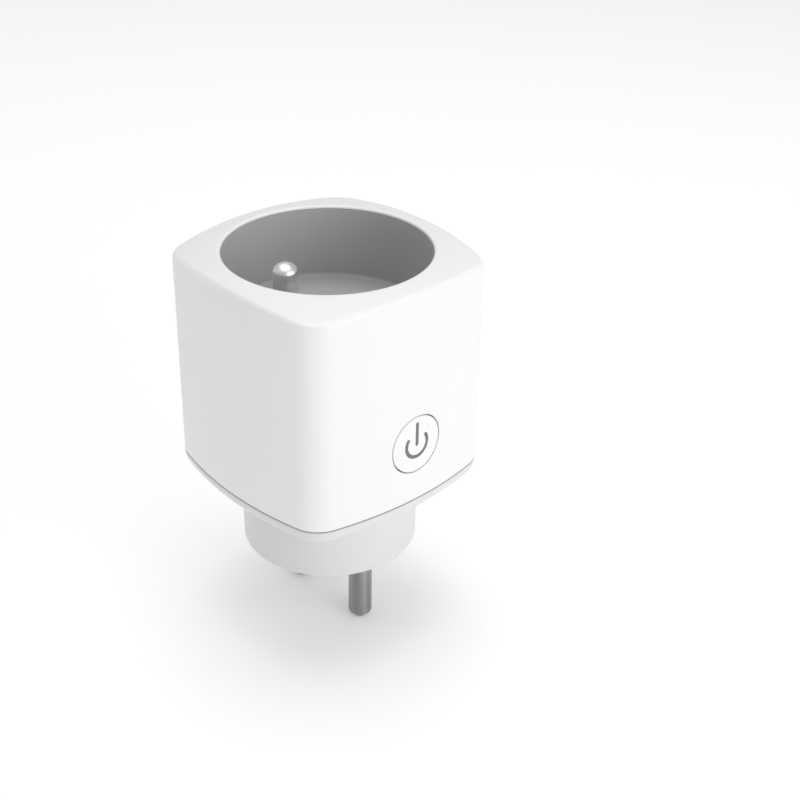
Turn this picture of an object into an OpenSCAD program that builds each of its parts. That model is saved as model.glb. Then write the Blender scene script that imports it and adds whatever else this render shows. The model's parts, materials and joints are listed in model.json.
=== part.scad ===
// Smart plug: a mains adaptor that sits in a wall socket on its two pins and offers one switched
// French-style socket in its top. Millimetres. The origin is the centre of the flat face that
// meets the wall socket, +Z runs out of the wall, the button looks along -Y and both earth
// contacts are on the -X side.

/* [Body] */
// Width across two opposite sides, at the middle of their bulge
body_w = 48.7; // [47.5:0.1:54]
// Radius of the long arc that each side follows
side_arc_r = 74; // [66:1:90]
// Radius of the four upright corners
corner_r = 6.5; // [6:0.1:7.5]
// Height of the socket's rim above the engagement face
rim_z = 62.7; // [62:0.1:66]
// Height of the seam between the front housing and the back cover
seam_z = 18.7; // [18.5:0.1:19.5]
// Width of the seam's shadow gap
seam_gap = 0.3; // [0.1:0.05:0.4]
// Thickness of the housing's side walls
wall = 2; // [1.6:0.1:2.2]
// Radius of the sphere that the top face is domed to
dome_r = 120; // [110:5:300]
// Radius of the edge between the sides and the top
edge_r = 0.9; // [0.8:0.1:2.5]

/* [Socket recess] */
// Radius of the recess that takes the appliance's plug
recess_r = 19.85; // [19.5:0.05:20]
// Depth of the recess
recess_depth = 15; // [14.5:0.1:15.5]
// Thickness of the recess's side wall
cup_wall = 1.6; // [1.2:0.1:1.6]
// Thickness of the recess's floor
floor_t = 2; // [1.8:0.1:2.2]
// Thickness of the housing's lip above the cup
lip_t = 0.5; // [0.4:0.1:1.6]
// Thickness of the housing's top skin around the cup
roof_t = 2.6; // [2.4:0.1:2.8]
// Radius of the two pin holes in the recess's floor
hole_r = 2.8; // [2.6:0.05:2.85]

/* [Pins] */
// Radius of the two plug pins and of the earth pin
pin_r = 2.4; // [2.35:0.05:2.4]
// Length of the plug pins beyond the engagement face
pin_length = 17; // [16.5:0.1:19.5]
// Distance between the two plug pins, and between the two pin holes
pin_pitch = 19; // [19:0.1:19.2]
// Distance of both earth contacts from the middle
earth_offset = 10; // [9.9:0.1:10.1]
// Height of the earth pin's tip above the recess's floor
earth_pin_h = 14.8; // [13.5:0.1:14.9]
// Radius of the hole that takes the wall socket's earth pin
earth_hole_r = 2.75; // [2.7:0.05:3]
// Radius of a pin's thicker shank, where the plastic holds it
shank_r = 2.6; // [2.5:0.05:2.6]

/* [Back] */
// Radius of the round boss that enters the wall socket
boss_r = 17.6; // [17.4:0.1:18.5]
// Height of the boss
boss_h = 15.1; // [14.8:0.1:15.4]
// How far the back cover's side draws in from the seam to its underside
band_inset = 2.2; // [1.5:0.1:2.4]

/* [Button] */
// Radius of the power button
button_r = 5.8; // [5.2:0.1:6]
// Gap around the button
button_gap = 0.25; // [0.1:0.05:0.25]
// Distance of the button from the middle of its side
button_x = 1; // [0:0.1:1.5]
// Height of the button's centre above the engagement face
button_z = 30.8; // [30.6:0.1:31.2]
// How far the button travels
button_travel = 0.4; // [0.2:0.05:0.45]
// Radius of the power symbol's ring, to the middle of its line
symbol_r = 2.6; // [2:0.1:3]
// Width of the power symbol's line
symbol_line = 0.75; // [0.5:0.05:1]

/* [Shutter] */
// How far the shutter slides to uncover the pin holes
shutter_travel = 6; // [5.9:0.1:6.2]
// Thickness of the shutter plate
shutter_t = 2.3; // [2:0.1:2.3]

/* [Electronics] */
// Height of the main board's underside
board_z = 25.5; // [25.4:0.1:25.8]
// Thickness of the main board
board_t = 1.6; // [1.2:0.1:1.6]
// Radius of the main board
board_r = 21.4; // [21:0.1:21.5]

/* [Hidden] */

$fn = 96;
eps = 0.5;              // how far a cutting tool runs past the surface that it opens
bite = 0.2;             // how deep one piece of a solid sinks into the next
play = 0.05;            // running clearance around a shaft
fine = 0.1;             // thin gap between pieces that rest beside each other

half_w = body_w / 2;
pin_y = pin_pitch / 2;
floor_top = rim_z - recess_depth;
floor_z = floor_top - floor_t;
cup_r = recess_r + cup_wall;
cup_top = rim_z - lip_t;
roof_z = rim_z - roof_t;                // underside of the housing's top skin
rim_chamfer = 0.35;
rim_flat = 0.65;                        // level ring around the recess, inside the dome
cover_top = seam_z - seam_gap;

// Upright corners: their centres, and the angle where a side's long arc turns into the corner.
arc_back = side_arc_r - half_w;
corner_at = (sqrt(2 * pow(side_arc_r - corner_r, 2) - pow(arc_back, 2)) - arc_back) / 2;
corner_angle = atan2(corner_at, corner_at + arc_back);
side_steps = 10;
corner_steps = 8;

// Screws that hold the two halves together, one in each corner.
screw_at = 16.9;
screw_r = 1.1;
screw_head_r = 1.8;
screw_head_t = 1.2;
screw_cross = 0.5;
post_r = 2.1;
spigot_t = 1;
spigot_h = 3;
flange_t = 2;
post_z = seam_z + spigot_h + bite;      // where the back cover's posts meet the housing's
head_seat_z = boss_h + screw_head_t + 2 * fine;
screw_tip_z = 29;

boss_wall = 2;
boss_floor = 2.5;
boss_chamfer = 0.6;
collar_r = 4.2;
collar_top = 7.5;

// Contact carrier: a disc under the cup, with a pocket for the shutter and a tower for each contact.
carrier_r = 21;
carrier_top = floor_z - fine;
carrier_z = floor_z - 5.1;
pocket_z = floor_z - 2.7;
shutter_z = pocket_z + fine;
tower_w = 9.2;
tower_z = board_z + board_t + 1.3;
tower_floor = 0.8;
contact_z = tower_z + tower_floor + bite;
contact_top = carrier_z - 3 * bite;
contact_wall = 0.55;
carrier_screw_y = 17.6;
pillar_x = 14;
pillar_y = 12.8;
pillar_r = 1.3;

// Shutter: closed, its holes stand shutter_travel short of the pin holes.
shutter_left = -10.8;
shutter_right = 9.2;
shutter_y = 12.9;
shutter_hole_r = hole_r + 0.1;
shutter_notch_x = -5.6;
shutter_notch_y = 4.2;
ramp_drop = 1.4;
spring_seat = 2;
spring_end = 18.1;
spring_r = 0.9;
spring_wire_r = 0.2;
spring_turns = 7;
spring_z = shutter_z + shutter_t / 2;
spring_pocket_y = 1.4;

// Earth path: pin, riveted bar and rear contact.
earth_foot_r = 3.4;
earth_foot_t = 1.1;
rivet_r = 1.6;
bar_t = 0.8;
bar_w = 4;
bar_x = -14.6;
bar_top = carrier_z - earth_foot_t - fine;
bar_foot_z = boss_h - 0.5;
bar_reach = 7;
rear_contact_z = boss_floor + bite;

// Button: a hollow cap in a collar, held by a flange, pressing a small switch on its own board.
cap_wall = 1;
cap_face_t = 1.3;
flange_r = button_r + 0.9;
cap_back_y = -19.9;
flange_back_t = 0.6;
collar_back_y = cap_back_y - flange_back_t - fine;
collar_front_y = -half_w + wall - bite;
button_collar_r = 7.3;
key_w = 1.2;
key_r = 6.3;
plunger_r = 1.7;
plunger_front_y = -20.6;
plunger_back_y = -18.3;
switch_w = 6;
switch_front_y = -19.3;
switch_back_y = -15.9;
button_board_t = 1;
button_board_w = 16;
button_board_z = [24, 38];
symbol_t = 0.25;
symbol_gap = 57;        // half of the angle that the ring leaves open at its top
symbol_bar = [-0.35, 4.75];

// Component boxes: [low corner, size].
under = board_z - fine;
above = board_z + board_t + play;
relay_box = [[4.2, -8.7, under - 13.9], [8.4, 17.4, 13.9]];
film_box = [[-5.5, -6.5, under - 12.5], [7, 13, 12.5]];
bridge_box = [[6.2, -3.2, above], [4.8, 6.4, 2.5]];
radio_box = [[14.5, -8, above], [0.8, 16, 12]];
shield_box = [[12.3, -6.5, above + 1.4], [2.15, 10.5, 10]];
core_box = [[-11.4, 7, under - 8], [8, 8, 8]];
shield_t = 0.3;
can_r = 3.1;
can_l = 9;
can_x = [-11.2, 2.2];
can_y = -12.1;
can_z = 21.4;
varistor_r = 4;
varistor_at = [6.8, 12.4];
varistor_t = 3.2;
fuse_at = [-8.5, -0.5, 29];
fuse_r = 1.6;
fuse_l = 8;
lead_r = 0.35;

// Points of the body's outline, set in from the side by inset: four long arcs and four corners.
function arc(centre, r, from, to, steps) =
    [for (i = [0:steps - 1]) let (a = from + (to - from) * i / steps)
        centre + r * [cos(a), sin(a)]];
function turn(p, a) = [p[0] * cos(a) - p[1] * sin(a), p[0] * sin(a) + p[1] * cos(a)];
function quarter(inset) = concat(
    arc([-arc_back, 0], side_arc_r - inset, -corner_angle, corner_angle, side_steps),
    arc([corner_at, corner_at], corner_r - inset, corner_angle, 90 - corner_angle, corner_steps));
function outline(inset) =
    [for (q = [0:3]) for (p = quarter(inset)) turn(p, 90 * q)];
function at_height(points, z) = [for (p = points) [p[0], p[1], z]];
function dome_z(p) = rim_z - max(0, pow(norm(p), 2) - pow(recess_r + rim_flat, 2)) / (2 * dome_r);

// A closed solid through a stack of rings that all have the same number of points.
module loft(rings) {
    n = len(rings[0]);
    last = len(rings) - 1;
    polyhedron(
        points = [for (ring = rings) for (p = ring) p],
        faces = concat(
            [[for (i = [0:n - 1]) i]],
            [for (k = [0:last - 1]) for (i = [0:n - 1]) let (j = (i + 1) % n)
                [k * n + i, (k + 1) * n + i, (k + 1) * n + j, k * n + j]],
            [[for (i = [n - 1:-1:0]) last * n + i]]));
}

// A straight wall of the body's outline.
module prism(inset, z0, z1) {
    translate([0, 0, z0]) linear_extrude(z1 - z0) polygon(outline(inset));
}

module upright(r, z0, z1) {
    translate([0, 0, z0]) cylinder(r = r, h = z1 - z0);
}

module ring(inner, outer, z0, z1) {
    difference() {
        upright(outer, z0, z1);
        upright(inner, z0 - eps, z1 + eps);
    }
}

// A cylinder that looks along Y at the button's height.
module toward_button(r, y0, y1) {
    translate([button_x, y0, button_z]) rotate([-90, 0, 0]) cylinder(r = r, h = y1 - y0);
}

module block(box) {
    translate(box[0]) cube(box[1]);
}

module at_screws() {
    for (x = [-screw_at, screw_at]) for (y = [-screw_at, screw_at]) translate([x, y, 0]) children();
}

module at_pillars() {
    for (x = [-pillar_x, pillar_x]) for (y = [-pillar_y, pillar_y]) translate([x, y, 0]) children();
}

module at_carrier_screws() {
    for (side = [-1, 1]) translate([0, side * carrier_screw_y, 0]) children();
}

module at_pins() {
    for (side = [-1, 1]) translate([0, side * pin_y, 0]) children();
}

module at_earth() {
    translate([-earth_offset, 0, 0]) children();
}

// The outer skin: straight sides, a rounded edge and a domed top that is level around the opening.
module housing_skin() {
    edge_steps = 5;
    edge = [for (i = [0:edge_steps]) let (a = 90 * i / edge_steps)
        [for (p = outline(edge_r * (1 - cos(a)))) [p[0], p[1], dome_z(p) - edge_r * (1 - sin(a))]]];
    top = [for (p = outline(edge_r)) let (q = p / norm(p) * (recess_r + rim_flat)) [q[0], q[1], rim_z]];
    loft(concat([at_height(outline(0), seam_z)], edge, [top]));
}

module front_housing() {
    color("white") difference() {
        union() {
            difference() {
                housing_skin();
                prism(wall, seam_z - eps, roof_z);
                upright(cup_r + play, roof_z - bite, cup_top);
                upright(recess_r, roof_z - eps, rim_z + eps);
                translate([0, 0, rim_z - rim_chamfer])
                    cylinder(r1 = recess_r, r2 = recess_r + rim_chamfer + bite,
                        h = rim_chamfer + bite);
            }
            at_screws() upright(post_r, post_z, roof_z + bite);
            for (q = [0:3]) rotate([0, 0, 45 + 90 * q])
                translate([screw_at * sqrt(2), -wall / 4, post_z])
                    cube([post_r + wall / 2, wall / 2, roof_z - post_z + bite]);
            toward_button(button_collar_r, collar_front_y, collar_back_y);
        }
        toward_button(button_r + button_gap, -half_w - eps, collar_back_y + eps);
        translate([button_x - key_w / 2 - fine, collar_front_y, button_z - key_r - fine])
            cube([key_w + 2 * fine, collar_back_y - collar_front_y + eps, key_r]);
        at_screws() upright(screw_r + play, post_z - eps, screw_tip_z + 2);
    }
}

module socket_cup() {
    color("gray") difference() {
        union() {
            upright(cup_r, floor_z, cup_top - fine);
            at_carrier_screws() upright(pillar_r + 0.6, pocket_z + 2 * fine, floor_z + bite);
        }
        upright(recess_r, floor_top, rim_z);
        at_pins() {
            upright(hole_r, floor_z - eps, floor_top + eps);
            translate([0, 0, floor_top - bite])
                cylinder(r1 = hole_r, r2 = hole_r + 2 * bite, h = 2 * bite);
        }
        at_earth() upright(shank_r + play, floor_z - eps, floor_top + eps);
        at_carrier_screws() upright(screw_r - bite + play, pocket_z, floor_z + 1);
    }
}

// A round-tipped pin along Z that ends in a foot and a rivet.
module earth_pin() {
    tip = 1.8;
    steps = 10;
    z_tip = floor_top + earth_pin_h;
    color("silver") at_earth() rotate_extrude() polygon(concat(
        [[0, bar_top - bar_t - 4 * fine], [rivet_r, bar_top - bar_t - 4 * fine],
            [rivet_r, bar_top + fine], [earth_foot_r, bar_top + fine],
            [earth_foot_r, carrier_z - play], [shank_r, carrier_z - play],
            [shank_r, floor_top], [pin_r, floor_top]],
        [for (i = [0:steps]) let (a = 90 * i / steps)
            [i == steps ? 0 : pin_r * cos(a), z_tip - tip * (1 - sin(a))]]));
}

module shutter() {
    ramp_x = shutter_hole_r - shutter_travel;
    color("gainsboro") difference() {
        translate([shutter_left, -shutter_y, shutter_z])
            cube([shutter_right - shutter_left, 2 * shutter_y, shutter_t]);
        at_pins() translate([-shutter_travel, 0, 0])
            upright(shutter_hole_r, shutter_z - eps, shutter_z + shutter_t + eps);
        // a ramp beside each hole, so that a plug's pins push the shutter aside
        at_pins() translate([0, hole_r, shutter_z + shutter_t]) rotate([90, 0, 0])
            linear_extrude(2 * hole_r)
                polygon([[ramp_x - 1, eps], [ramp_x - 1, -ramp_drop],
                    [ramp_x + bite, -ramp_drop], [hole_r, 0], [hole_r, eps]]);
        translate([shutter_left - eps, -shutter_notch_y, shutter_z - eps])
            cube([shutter_notch_x - shutter_left + eps, 2 * shutter_notch_y, shutter_t + 2 * eps]);
        translate([shutter_right - spring_seat, -spring_pocket_y, shutter_z - eps])
            cube([spring_seat + eps, 2 * spring_pocket_y, shutter_t + 2 * eps]);
    }
}

// A coil along X: rings of a thin wire swept along a helix, with both ends closed.
module shutter_spring() {
    sides = 6;
    per_turn = 10;
    x0 = shutter_right - spring_seat + spring_wire_r + play;
    x1 = spring_end - spring_wire_r - play;
    steps = spring_turns * per_turn;
    rings = [for (i = [0:steps]) let (a = 360 * i / per_turn, x = x0 + (x1 - x0) * i / steps)
        [for (k = [0:sides - 1]) let (b = 360 * k / sides, r = spring_r + spring_wire_r * cos(b))
            [x + spring_wire_r * sin(b), r * cos(a), spring_z + r * sin(a)]]];
    color("silver") loft(rings);
}

module contact_carrier() {
    color("dimgray") difference() {
        union() {
            upright(carrier_r, carrier_z, carrier_top);
            at_pins() translate([-tower_w / 2, -tower_w / 2, tower_z])
                cube([tower_w, tower_w, carrier_z - tower_z + bite]);
        }
        translate([shutter_left - 2 * fine, -shutter_y - 2 * fine, pocket_z])
            cube([shutter_right - shutter_left + shutter_travel + 4 * fine,
                2 * shutter_y + 4 * fine, floor_z]);
        translate([0, -spring_pocket_y, pocket_z])
            cube([spring_end + play, 2 * spring_pocket_y, floor_z]);
        at_pins() {
            upright(pin_r + contact_wall + 7 * play, tower_z + tower_floor, carrier_z - bite);
            upright(shutter_hole_r, carrier_z - eps, pocket_z + eps);
        }
        for (side = [-1, 1])
            translate([-1.8, side * (pin_y + pin_r + contact_wall / 2) - 0.6, tower_z - eps])
                cube([3.6, 1.2, tower_floor + 2 * eps]);
        at_earth() upright(shank_r + play, carrier_z - eps, floor_z);
        at_carrier_screws() {
            upright(pillar_r + 0.7, pocket_z + fine, floor_z);
            upright(screw_r - bite + fine, carrier_z - eps, floor_z);
        }
    }
}

// A split sleeve that grips a plug's pin, with a tail down through the main board.
module pin_contact(side) {
    color("goldenrod") translate([0, side * pin_y, 0]) difference() {
        union() {
            upright(pin_r + contact_wall, contact_z, contact_top);
            translate([-1.5, side * (pin_r + contact_wall / 2) - contact_wall / 2, board_z - 0.8])
                cube([3, contact_wall, contact_z - board_z + 2]);
        }
        upright(pin_r + fine, contact_z - eps, contact_top + eps);
        translate([-pin_r - 1, -0.4, contact_z + 2])
            cube([2 * pin_r + 2, 0.8, contact_top - contact_z]);
    }
}

module live_contact() {
    pin_contact(-1);
}

module neutral_contact() {
    pin_contact(1);
}

// The cover's side: level with the housing at the seam, rounding in towards its underside.
module band_skin() {
    steps = 4;
    rings = [for (i = [steps:-1:0]) let (a = 70 * i / steps,
            inset = band_inset * (1 - cos(a)) / (1 - cos(70)),
            z = cover_top - (cover_top - boss_h) * sin(a) / sin(70))
        at_height(outline(inset), z)];
    loft(rings);
}

module back_cover() {
    color("whitesmoke") difference() {
        union() {
            difference() {
                union() {
                    band_skin();
                    difference() {
                        prism(wall + fine, boss_h + 1, seam_z + spigot_h);
                        prism(wall + fine + spigot_t, boss_h + flange_t, rim_z);
                    }
                }
                prism(wall + fine + spigot_t, boss_h + flange_t, rim_z);
                upright(boss_r - boss_wall, 0, rim_z);
            }
            rotate_extrude() polygon([[0, 0], [boss_r - boss_chamfer, 0], [boss_r, boss_chamfer],
                [boss_r, boss_h + bite], [boss_r - boss_wall, boss_h + bite],
                [boss_r - boss_wall, boss_floor], [0, boss_floor]]);
            at_pins() upright(collar_r, boss_floor - bite, collar_top);
            at_screws() upright(post_r, boss_h + flange_t - bite, post_z - fine);
            at_pillars() {
                upright(pillar_r + 0.8, boss_h + flange_t - bite, board_z - play);
                upright(pillar_r, boss_h + flange_t - bite, carrier_z - fine);
            }
        }
        at_pins() upright(shank_r + play, -eps, collar_top + eps);
        at_earth() upright(earth_hole_r, -eps, boss_floor + eps);
        at_screws() {
            upright(screw_head_r + fine, boss_h - eps, head_seat_z);
            upright(screw_r + play, boss_h, post_z + eps);
        }
    }
}

// A plug pin: a bevelled pin with a shoulder inside the boss and a tail up to the board.
module plug_pin(side) {
    tip = 1.3;
    tip_r = 1.35;
    tail_r = 1;
    color("silver") translate([0, side * pin_y, 0]) rotate_extrude() polygon([
        [0, -pin_length], [tip_r, -pin_length], [pin_r, tip - pin_length], [pin_r, 0],
        [shank_r, 0], [shank_r, collar_top + play], [collar_r - 0.8, collar_top + play],
        [collar_r - 0.8, collar_top + 1.3], [tail_r, collar_top + 1.3],
        [tail_r, board_z + board_t + 0.6], [0, board_z + board_t + 0.6]]);
}

module live_plug_pin() {
    plug_pin(-1);
}

module neutral_plug_pin() {
    plug_pin(1);
}

module rear_earth_contact() {
    color("goldenrod") at_earth() difference() {
        ring(pin_r + play, pin_r + play + contact_wall, rear_contact_z, bar_foot_z - play);
        translate([-0.4, -earth_foot_r, rear_contact_z - eps])
            cube([0.8, 2 * earth_foot_r, 8]);
    }
}

module earth_bar() {
    color("goldenrod") difference() {
        union() {
            translate([bar_x, -bar_w / 2, bar_foot_z]) cube([bar_t, bar_w, bar_top - bar_foot_z]);
            for (z = [bar_foot_z, bar_top - bar_t])
                translate([bar_x, -bar_w / 2, z]) cube([-bar_x - bar_reach, bar_w, bar_t]);
        }
        at_earth() upright(rivet_r + play, bar_top - bar_t - eps, bar_top + eps);
    }
}

module main_board() {
    color("darkgreen") difference() {
        upright(board_r, board_z, board_z + board_t);
        translate([button_x - button_board_w / 2 - 0.4, -half_w, board_z - eps])
            cube([button_board_w + 0.8, half_w + switch_back_y + button_board_t + fine,
                board_t + 2 * eps]);
        translate([-half_w, -bar_w / 2 - 0.6, board_z - eps])
            cube([half_w + bar_x + bar_t + 0.6, bar_w + 1.2, board_t + 2 * eps]);
        at_pillars() upright(pillar_r + fine, board_z - eps, board_z + board_t + eps);
        at_pins() upright(1 + fine, board_z - eps, board_z + board_t + eps);
        for (side = [-1, 1])
            translate([-1.7, side * (pin_y + pin_r + contact_wall / 2) - 0.45, board_z - eps])
                cube([3.4, 0.9, board_t + 2 * eps]);
    }
}

module relay() {
    color("black") block(relay_box);
}

module filter_capacitor() {
    color("gold") block(film_box);
}

module electrolytic_capacitors() {
    color("midnightblue") for (x = can_x)
        translate([x, can_y, can_z]) rotate([0, 90, 0]) cylinder(r = can_r, h = can_l);
}

module varistor() {
    color("royalblue") translate([varistor_at[0], varistor_at[1] - varistor_t / 2,
        under - varistor_r]) rotate([-90, 0, 0]) cylinder(r = varistor_r, h = varistor_t);
}

// A wound core: two end plates with the winding between them.
module transformer() {
    plate = 1.2;
    color("darkorange") {
        for (z = [core_box[0][2], core_box[0][2] + core_box[1][2] - plate])
            translate([core_box[0][0], core_box[0][1], z])
                cube([core_box[1][0], core_box[1][1], plate]);
        translate([core_box[0][0] + core_box[1][0] / 2, core_box[0][1] + core_box[1][1] / 2,
            core_box[0][2] + plate - bite])
            cylinder(d = core_box[1][0] - 1, h = core_box[1][2] - 2 * plate + 2 * bite);
    }
}

module bridge_rectifier() {
    color("black") block(bridge_box);
}

module fuse_resistor() {
    color("tan") union() {
        translate(fuse_at) rotate([90, 0, 0]) cylinder(r = fuse_r, h = fuse_l, center = true);
        for (side = [-1, 1]) translate([fuse_at[0], fuse_at[1] + side * (fuse_l / 2 - 1), above])
            cylinder(r = lead_r, h = fuse_at[2] - above);
    }
}

module radio_board() {
    color("darkgreen") block(radio_box);
}

// A tin can, open towards the radio board.
module radio_shield() {
    color("silver") difference() {
        block(shield_box);
        translate(shield_box[0] + shield_t * [1, 1, 1])
            cube([shield_box[1][0], shield_box[1][1] - 2 * shield_t,
                shield_box[1][2] - 2 * shield_t]);
    }
}

module button_board() {
    color("darkgreen") translate([button_x - button_board_w / 2, switch_back_y, button_board_z[0]])
        cube([button_board_w, button_board_t, button_board_z[1] - button_board_z[0]]);
}

module switch_body() {
    color("black") difference() {
        translate([button_x - switch_w / 2, switch_front_y, button_z - switch_w / 2])
            cube([switch_w, switch_back_y - play - switch_front_y, switch_w]);
        toward_button(plunger_r + play, switch_front_y - eps, plunger_back_y + 0.8);
    }
}

module switch_plunger() {
    color("black") toward_button(plunger_r, plunger_front_y, plunger_back_y);
}

// The side's bulge as an upright cylinder, so that the button's face is level with the housing.
module bulge() {
    translate([0, arc_back, 0]) cylinder(r = side_arc_r, h = rim_z, $fn = 360);
}

// The power symbol's flat shape: a ring that is open at the top, and a bar in the opening.
module symbol_shape(grow) {
    difference() {
        circle(r = symbol_r + symbol_line / 2 + grow);
        circle(r = symbol_r - symbol_line / 2 - grow);
        polygon([[0, 0], 9 * [sin(symbol_gap), cos(symbol_gap)],
            9 * [0, 1.8], 9 * [-sin(symbol_gap), cos(symbol_gap)]]);
    }
    translate([-symbol_line / 2 - grow, symbol_bar[0] - grow])
        square([symbol_line + 2 * grow, symbol_bar[1] - symbol_bar[0] + 2 * grow]);
}

// The symbol pushed back through the side's bulge to a depth behind its fullest point.
module symbol_block(grow, depth) {
    translate([button_x, -half_w + depth, button_z]) rotate([90, 0, 0])
        linear_extrude(depth + eps) symbol_shape(grow);
}

module power_button() {
    color("white") union() {
        difference() {
            intersection() {
                union() {
                    toward_button(button_r, -half_w - eps, cap_back_y);
                    translate([button_x - key_w / 2, collar_front_y + 2 * fine,
                        button_z - key_r])
                        cube([key_w, cap_back_y - collar_front_y - 2 * fine, key_r]);
                }
                bulge();
            }
            toward_button(button_r - cap_wall, -half_w + cap_face_t, cap_back_y + eps);
            symbol_block(play, symbol_t + play);
        }
        difference() {
            toward_button(flange_r, cap_back_y - flange_back_t, cap_back_y);
            toward_button(button_r - cap_wall, -half_w, cap_back_y + eps);
        }
        toward_button(plunger_r - bite, -half_w + cap_face_t - bite, plunger_front_y - play);
    }
}

module button_symbol() {
    color("dimgray") intersection() {
        symbol_block(0, symbol_t);
        bulge();
    }
}

module status_led() {
    color("white") translate([button_x + 4.6, switch_back_y - 0.75, button_z + 5.4])
        cube([1.6, 0.7, 0.8]);
}

// A pan-head screw along Z with a cross recess, driven in from below.
module screw(head_r, head_t, shank_r, length) {
    difference() {
        union() {
            cylinder(r = head_r, h = head_t);
            cylinder(r = shank_r, h = head_t + length);
        }
        for (a = [0, 90]) rotate([0, 0, a])
            translate([-head_r * 0.65, -screw_cross / 2, -eps])
                cube([head_r * 1.3, screw_cross, eps + head_t / 2]);
    }
}

module case_screws() {
    color("silver") at_screws() translate([0, 0, head_seat_z - screw_head_t - play])
        screw(screw_head_r, screw_head_t, screw_r, screw_tip_z - head_seat_z);
}

module carrier_screws() {
    color("silver") at_carrier_screws() translate([0, 0, carrier_z - screw_head_t - play])
        screw(screw_head_r - bite, screw_head_t, screw_r - bite, floor_z - carrier_z + 0.5);
}

front_housing();
socket_cup();
earth_pin();
shutter();
shutter_spring();
contact_carrier();
live_contact();
neutral_contact();
back_cover();
live_plug_pin();
neutral_plug_pin();
rear_earth_contact();
earth_bar();
main_board();
relay();
filter_capacitor();
electrolytic_capacitors();
varistor();
transformer();
bridge_rectifier();
fuse_resistor();
radio_board();
radio_shield();
button_board();
switch_body();
switch_plunger();
power_button();
button_symbol();
status_led();
case_screws();
carrier_screws();
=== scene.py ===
"""Smart plug with a round socket recess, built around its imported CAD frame. Everything is in metres."""

import json
import math

import bmesh
import bpy
from mathutils import Matrix, Vector

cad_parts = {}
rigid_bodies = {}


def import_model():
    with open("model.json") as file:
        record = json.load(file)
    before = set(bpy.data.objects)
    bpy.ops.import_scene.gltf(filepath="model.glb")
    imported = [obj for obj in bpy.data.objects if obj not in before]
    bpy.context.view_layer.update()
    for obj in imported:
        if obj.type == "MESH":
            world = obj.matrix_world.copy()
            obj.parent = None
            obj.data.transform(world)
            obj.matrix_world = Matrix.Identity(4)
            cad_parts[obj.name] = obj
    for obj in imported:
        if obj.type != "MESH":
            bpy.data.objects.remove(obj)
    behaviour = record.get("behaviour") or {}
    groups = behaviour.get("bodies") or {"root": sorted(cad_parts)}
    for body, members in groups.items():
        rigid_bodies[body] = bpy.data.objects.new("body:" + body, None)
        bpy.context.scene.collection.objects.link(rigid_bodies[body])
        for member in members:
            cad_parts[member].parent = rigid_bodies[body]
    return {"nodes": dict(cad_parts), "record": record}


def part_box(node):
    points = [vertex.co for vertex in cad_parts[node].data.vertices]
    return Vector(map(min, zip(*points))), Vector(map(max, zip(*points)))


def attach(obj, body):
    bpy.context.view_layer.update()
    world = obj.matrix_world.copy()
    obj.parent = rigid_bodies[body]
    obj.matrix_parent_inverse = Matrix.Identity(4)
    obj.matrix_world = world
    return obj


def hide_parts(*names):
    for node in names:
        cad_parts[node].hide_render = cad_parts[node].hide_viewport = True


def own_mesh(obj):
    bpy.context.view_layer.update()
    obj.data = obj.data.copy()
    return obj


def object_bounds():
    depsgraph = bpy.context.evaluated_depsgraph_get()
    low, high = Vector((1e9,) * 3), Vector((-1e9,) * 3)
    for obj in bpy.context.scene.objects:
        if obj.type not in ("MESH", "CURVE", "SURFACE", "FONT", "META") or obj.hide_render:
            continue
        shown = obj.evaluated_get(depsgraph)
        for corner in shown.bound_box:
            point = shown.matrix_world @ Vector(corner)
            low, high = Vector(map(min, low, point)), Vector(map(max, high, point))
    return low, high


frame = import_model()
CAD_BOX = [list(corner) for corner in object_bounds()]

MM = 0.001
PLAY = 0.05 * MM
FINE = 0.1 * MM
MOUNTS = {m["name"]: m for m in frame["record"]["mounts"]}

# ------------------------ sizes, read from the frame

HOUSING_LOW, HOUSING_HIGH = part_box("front_housing")
_, CUP_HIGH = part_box("socket_cup")
PIN_LOW, PIN_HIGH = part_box("live_plug_pin")
EARTH_LOW, EARTH_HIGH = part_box("earth_pin")
BUTTON_LOW, BUTTON_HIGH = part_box("power_button")
BOARD_LOW, BOARD_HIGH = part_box("main_board")

HALF_W = HOUSING_HIGH.x
RIM_Z = HOUSING_HIGH.z
SEAM_Z = HOUSING_LOW.z
RECESS_R = MOUNTS["socket_recess"]["dims"]["r_mm"] * MM
FLOOR_Z = MOUNTS["socket_recess"]["pos_m"][2]
CUP_R = CUP_HIGH.x
PIN_R = MOUNTS["plug_pins"]["dims"]["stud_r_mm"] * MM
PIN_Y = MOUNTS["plug_pins"]["dims"]["spacing_y_mm"] * MM / 2
PIN_HOLE_R = MOUNTS["socket_hole_front"]["dims"]["r_mm"] * MM
EARTH_X = MOUNTS["socket_earth_pin"]["pos_m"][0]
EARTH_HOLE_R = MOUNTS["wall_earth_hole"]["dims"]["r_mm"] * MM
BUTTON_X = (BUTTON_LOW.x + BUTTON_HIGH.x) / 2
BUTTON_Z = (BUTTON_LOW.z + BUTTON_HIGH.z) / 2
BUTTON_AT = Vector((BUTTON_X, BUTTON_Z))
BOARD_UNDER = BOARD_LOW.z - FINE
BOARD_TOP = BOARD_HIGH.z
NODE_AT = {name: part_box(name)[0] for name in frame["nodes"]}

# ------------------------ sizes of the design itself

# the outline: four sides that bulge, joined by tighter corners
SIDE_ARC_R = 74 * MM
CORNER_R = 6.5 * MM
# the top: a flat rim, a dome around it, a rounded outer edge, and a lip over the cup
RIM_FLAT = 0.65 * MM
DOME_R = 120 * MM
EDGE_R = 0.9 * MM
LIP = 0.5 * MM
LIP_FILLET = 0.4 * MM
ROOF = 2.6 * MM
# the walls, and the seam between housing and cover
WALL = 2 * MM
CUP_FLOOR = 2 * MM
SEAM_GAP = 0.3 * MM
SEAM_FILLET = 0.1 * MM
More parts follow.
